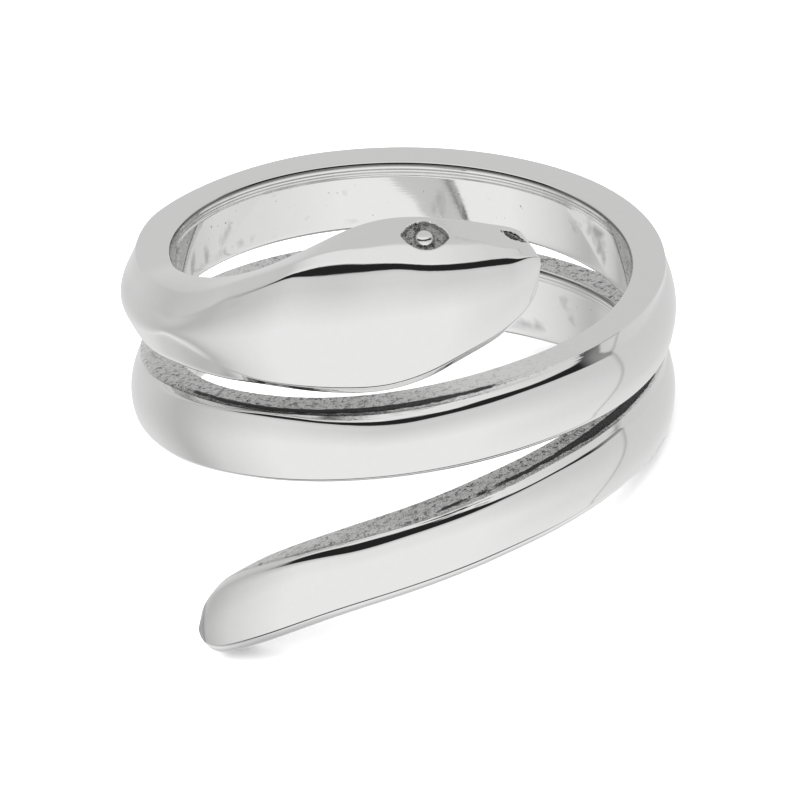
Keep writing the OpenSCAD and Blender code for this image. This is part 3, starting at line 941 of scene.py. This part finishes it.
def noise_node(tree, coords, noise):
    """A noise (spots to the millimetre, detail, roughness), on coordinates in millimetres."""
    node = tree.nodes.new("ShaderNodeTexNoise")
    for name, value in zip(("Scale", "Detail", "Roughness"), noise):
        node.inputs[name].default_value = value
    tree.links.new(coords, node.inputs["Vector"])
    return node.outputs["Fac"]


def grain_group():
    """Sand-cast grain: its height, how dull it is, and its hollows where the metal stays dark."""
    tree, given, result = add_group("cast_grain", ("Amount",), ("Height", "Shade", "Hollow"))
    coords = in_millimetres(tree)
    coarse = noise_node(tree, coords, COARSE_NOISE)
    fine = noise_node(tree, coords, FINE_NOISE)
    grain = math_node(tree, "MULTIPLY_ADD", fine, FINE_SHARE, coarse)
    shade = cut_off(tree, grain, SHADE_CUT)
    hollow = cut_off(tree, grain, HOLLOW_CUT)
    for name, value in (("Height", grain), ("Shade", shade), ("Hollow", hollow)):
        tree.links.new(math_node(tree, "MULTIPLY", value, given.outputs["Amount"]), result.inputs[name])
    return tree


def painted_streak_group():
    """A ragged painted dark reflection: the amount and a noise drawn out along the band, cut off sharply."""
    tree, given, result = add_group("ragged_painted_reflection", ("Amount",), ("Dark",))
    rough = noise_node(tree, band_coords(tree, PAINTED_STREAK_SCALE), PAINTED_STREAK_NOISE)
    together = math_node(tree, "MULTIPLY_ADD", rough, PAINTED_STREAK_SHARE, given.outputs["Amount"])
    tree.links.new(cut_off(tree, together, PAINTED_STREAK_CUT), result.inputs["Dark"])
    return tree


def marks_group():
    """Fine marks that run along the band: a noise drawn out along it."""
    tree, given, result = add_group("tool_marks", ("Amount",), ("Height",))
    marks = noise_node(tree, band_coords(tree, MARKS_SCALE), MARKS_NOISE)
    tree.links.new(math_node(tree, "MULTIPLY", marks, given.outputs["Amount"]), result.inputs["Height"])
    return tree


def pits_group():
    """Tiny scattered pits, and wider dull patches."""
    tree, given, result = add_group("pits_and_patches", ("Pits", "Patches"), ("Pit", "Patch"))
    coords = in_millimetres(tree)
    pit = cut_off(tree, noise_node(tree, coords, PIT_NOISE), PIT_CUT)
    patch = cut_off(tree, noise_node(tree, coords, PATCH_NOISE), PATCH_CUT)
    tree.links.new(math_node(tree, "MULTIPLY", pit, given.outputs["Pits"]), result.inputs["Pit"])
    tree.links.new(math_node(tree, "MULTIPLY", patch, given.outputs["Patches"]), result.inputs["Patch"])
    return tree


def silver():
    """Polished silver, with cast skin, tool marks, pits, dull patches and painted shade where the mesh says
    so.
    """
    material = bpy.data.materials.new("polished_silver")
    material.use_nodes = True
    tree = material.node_tree
    shader = tree.nodes["Principled BSDF"]
    shader.inputs["Metallic"].default_value = 1.0
    skin, wall, worn = attribute(tree, "skin"), attribute(tree, "wall"), attribute(tree, "worn")
    rough_part = math_node(tree, "MAXIMUM", attribute(tree, "cast"), math_node(tree, "MINIMUM", skin, 1.0))
    drawn = math_node(tree, "MAXIMUM", attribute(tree, "drawn"), LEAST_MARKS)
    grain = placed(tree, grain_group(), Amount=rough_part)
    marks = placed(tree, marks_group(), Amount=drawn)
    spots = placed(tree, pits_group(), Pits=math_node(tree, "MULTIPLY", wall, WALL_PITS), Patches=wall)
    # Painted dark reflection: a jagged dark streak along the step
    painted_reflection_streak = placed(tree, painted_streak_group(), Amount=attribute(tree, "painted_reflection_streak"))["Dark"]
    coords = in_millimetres(tree)
    ripple = noise_node(tree, coords, RIPPLE_NOISE)
    polish = noise_node(tree, coords, POLISH_NOISE)

    color = mixed(tree, math_node(tree, "MULTIPLY", polish, POLISH_SHADE), SILVER_COLOR, WORN_COLOR)
    for mark, share in ((worn, WORN_SHADE), (grain["Shade"], GRAIN_SHADE), (spots["Patch"], PATCH_SHADE)):
        color = mixed(tree, math_node(tree, "MULTIPLY", mark, share), color, CAST_COLOR)
    # Dark: the grain's hollows, pits and the nostrils' dark, and painted shade along the step, in the fine
    # lines and inside the tail's rim
    dark = math_node(tree, "MAXIMUM", grain["Hollow"], painted_reflection_streak)
    for mark, share in ((spots["Pit"], PIT_DARK), (attribute(tree, "painted_line_shade"), PAINTED_LINE_DARK)):
        dark = math_node(tree, "MAXIMUM", dark, math_node(tree, "MULTIPLY", mark, share))
    dark = math_node(tree, "MAXIMUM", dark, math_node(tree, "SUBTRACT", skin, 1.0))
    color = mixed(tree, dark, color, HOLLOW_AND_PAINTED_SHADE_COLOR)
    tree.links.new(color, shader.inputs["Base Color"])

    roughness = math_node(tree, "MULTIPLY_ADD", polish, POLISH_ROUGH, LEAST_ROUGH)
    for mark, more in (
        (rough_part, CAST_ROUGH), (spots["Patch"], PATCH_ROUGH), (painted_reflection_streak, PAINTED_STREAK_ROUGH), (worn, WORN_ROUGH),
    ):
        roughness = math_node(tree, "MULTIPLY_ADD", mark, more, roughness)
    tree.links.new(roughness, shader.inputs["Roughness"])

    marked = math_node(tree, "MULTIPLY", ripple, RIPPLE_HIGH)
    for mark, high in (
        (grain["Height"], GRAIN_HIGH), (marks["Height"], MARKS_HIGH), (spots["Pit"], -PIT_DEEP),
    ):
        marked = math_node(tree, "MULTIPLY_ADD", mark, high, marked)
    bump = tree.nodes.new("ShaderNodeBump")
    bump.inputs["Distance"].default_value = MM
    tree.links.new(marked, bump.inputs["Height"])
    tree.links.new(bump.outputs["Normal"], shader.inputs["Normal"])
    return material


def add_floor():
    """A wide flat floor under the ring, pale and matt."""
    material = bpy.data.materials.new("pale_floor")
    material.use_nodes = True
    shader = material.node_tree.nodes["Principled BSDF"]
    shader.inputs["Base Color"].default_value = grey(FLOOR_GREY)
    shader.inputs["Roughness"].default_value = FLOOR_ROUGH
    shader.inputs["Specular IOR Level"].default_value = FLOOR_SHINE
    corners = [(x * FLOOR_HALF, y * FLOOR_HALF, 0) for x, y in ((-1, -1), (1, -1), (1, 1), (-1, 1))]
    mesh = bpy.data.meshes.new("floor")
    mesh.from_pydata(corners, [], [(0, 1, 2, 3)])
    floor = bpy.data.objects.new("floor", mesh)
    floor.data.materials.append(material)
    floor.visible_glossy = False
    bpy.context.scene.collection.objects.link(floor)


def mirrored_direction(tree, move):
    """Elevation and azimuth of a direction, in degrees, by the coil's frame before its move."""
    coords = tree.nodes.new("ShaderNodeTexCoord")
    turned = move.to_3x3()
    parts = []
    for axis in ((0, 0, 1), (0, -1, 0), (1, 0, 0)):
        node = tree.nodes.new("ShaderNodeVectorMath")
        node.operation = "DOT_PRODUCT"
        node.inputs[1].default_value = turned @ Vector(axis)
        tree.links.new(coords.outputs["Generated"], node.inputs[0])
        parts.append(node.outputs["Value"])
    up, front, right = parts
    elevation = math_node(tree, "MULTIPLY", math_node(tree, "ARCSINE", up), 180 / math.pi)
    azimuth = math_node(tree, "MULTIPLY", math_node(tree, "ARCTAN2", right, front), 180 / math.pi)
    return elevation, azimuth


def studio_light(tree, elevation, azimuth):
    """Brightness by direction: four sides over each other, then the dark edge and the two dark gaps."""

    def by_azimuth(stops):
        """Value of a table by azimuth."""
        return ramp(tree, azimuth, stops, 180)

    def shifted(stops, way):
        """The elevation with so many degrees by azimuth added (1) or taken off (-1)."""
        share = by_azimuth([(place, lift / 90) for place, lift in stops])
        return math_node(tree, "MULTIPLY_ADD", share, 90 * way, elevation)

    front_height = shifted(FRONT_DROP, 1)
    light = ramp(tree, elevation, BACK_LIGHT, 90)
    for span, stops, height_at in (
        (FRONT_SPAN, FRONT_LIGHT, front_height),
        (LEFT_SPAN, LEFT_LIGHT, elevation),
        (RIGHT_SPAN, RIGHT_LIGHT, elevation),
    ):
        light = mixed(tree, by_azimuth(span), light, ramp(tree, height_at, stops, 90))
    light = mixed(tree, by_azimuth(EDGE_SPAN), light, grey(EDGE_LIGHT))
    for span, stops, height_at, value in (
        (GAP_SPAN, GAP_HEIGHT, front_height, GAP_LIGHT),
        (LOW_GAP_SPAN, LOW_GAP_HEIGHT, shifted(LOW_GAP_LIFT, -1), LOW_GAP_LIGHT),
    ):
        gap = math_node(tree, "MULTIPLY", ramp(tree, height_at, stops, 90), by_azimuth(span))
        light = mixed(tree, gap, light, grey(value))
    return light


def add_studio(move):
    """Soft light from all round for the metal, one even light for the floor, and a lamp overhead."""
    world = bpy.data.worlds.new("studio")
    bpy.context.scene.world = world
    world.use_nodes = True
    tree = world.node_tree
    tree.nodes.clear()
    output = tree.nodes.new("ShaderNodeOutputWorld")
    background = tree.nodes.new("ShaderNodeBackground")
    light = studio_light(tree, *mirrored_direction(tree, move))
    path_of = tree.nodes.new("ShaderNodeLightPath")
    light = mixed(tree, path_of.outputs["Is Diffuse Ray"], light, grey(FLOOR_LIGHT))
    tree.links.new(light, background.inputs["Color"])
    tree.links.new(background.outputs["Background"], output.inputs["Surface"])

    soft_light = bpy.data.lights.new("overhead", "AREA")
    soft_light.shape = "DISK"
    soft_light.size = LAMP_SIZE
    soft_light.energy = LAMP_POWER
    lamp = bpy.data.objects.new("overhead", soft_light)
    lamp.location = LAMP_AT
    lamp.rotation_mode = "QUATERNION"
    lamp.rotation_quaternion = Vector(LAMP_AT).to_track_quat("Z", "Y")
    lamp.visible_glossy = False
    bpy.context.scene.collection.objects.link(lamp)


def add_camera(move):
    """The photograph's camera, which moves with the coil: far away, above its level and rolled."""
    elevation, roll = math.radians(CAMERA_HIGH), math.radians(CAMERA_ROLL)
    eye = Vector((0, -math.cos(elevation), math.sin(elevation))) * CAMERA_AWAY * MM
    aim = Vector(CAMERA_AIM) * MM
    up = Vector((math.sin(roll), math.cos(roll) * math.sin(elevation), math.cos(roll) * math.cos(elevation)))
    eye, aim, up = move @ eye, move @ aim, move.to_3x3() @ up
    look = (aim - eye).normalized()
    right = look.cross(up).normalized()
    up = right.cross(look)
    camera = bpy.data.cameras.new("photo_camera")
    camera.sensor_width = SENSOR_WIDE
    camera.lens = SENSOR_WIDE * CAMERA_AWAY / PICTURE_WIDE
    camera.clip_start, camera.clip_end = CLIP
    holder = bpy.data.objects.new("photo_camera", camera)
    turned = Matrix((right, up, -look)).transposed().to_4x4()
    holder.matrix_world = Matrix.Translation(eye) @ turned
    bpy.context.scene.collection.objects.link(holder)
    bpy.context.scene.camera = holder


ring = build_ring()
move = put_at_rest(ring)
ring.data.materials.append(silver())
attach(ring, "root")
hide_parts("snake_ring")

add_floor()
add_studio(move)
add_camera(move)

view_settings = bpy.context.scene.view_settings
view_settings.view_transform = "Standard"
view_settings.look = "None"
